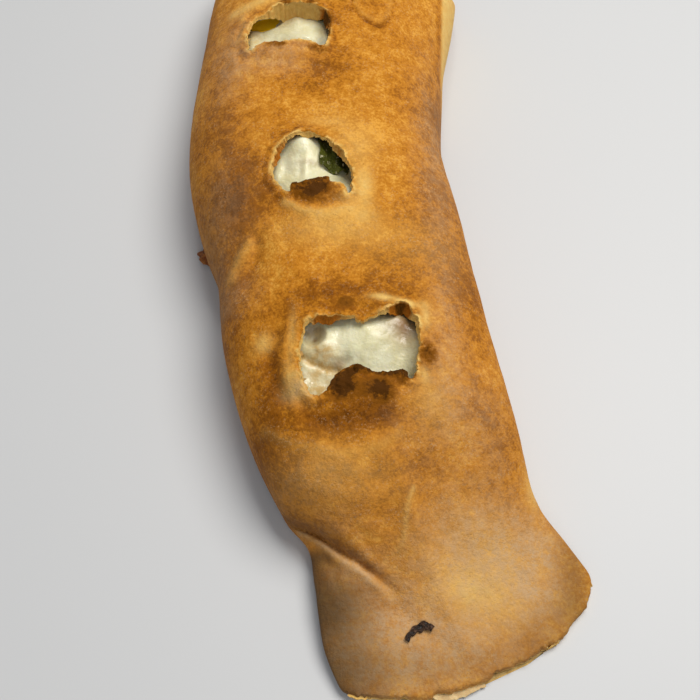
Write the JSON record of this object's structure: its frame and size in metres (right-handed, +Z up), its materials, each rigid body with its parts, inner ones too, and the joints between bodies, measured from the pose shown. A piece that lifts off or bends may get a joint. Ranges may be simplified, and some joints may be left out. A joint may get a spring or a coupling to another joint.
{
  "type": "baked stromboli",
  "caption": "Long baked roll of filled dough with torn steam vents along its top, melted cheese inside and both ends pressed flat.",
  "frame": {"origin": "centre of the bounding box on the table, under the roll's flat base", "axes": "+Z up, +Y along the roll from the near flap to the far end, +X to the right seen from the near flap"},
  "size_m": [0.153, 0.3681, 0.0545],
  "materials": {
    "crust": "floury, mottled golden brown",
    "cheese": "melted, glossy cream white",
    "spinach": "wilted, slightly wet dark green",
    "oil": "clear golden oil"
  },
  "bodies": {
    "root": {"crust": "crust", "filling": "cheese", "spinach_leaf": "spinach", "oil_pool": "oil"}
  },
  "joints": []
}
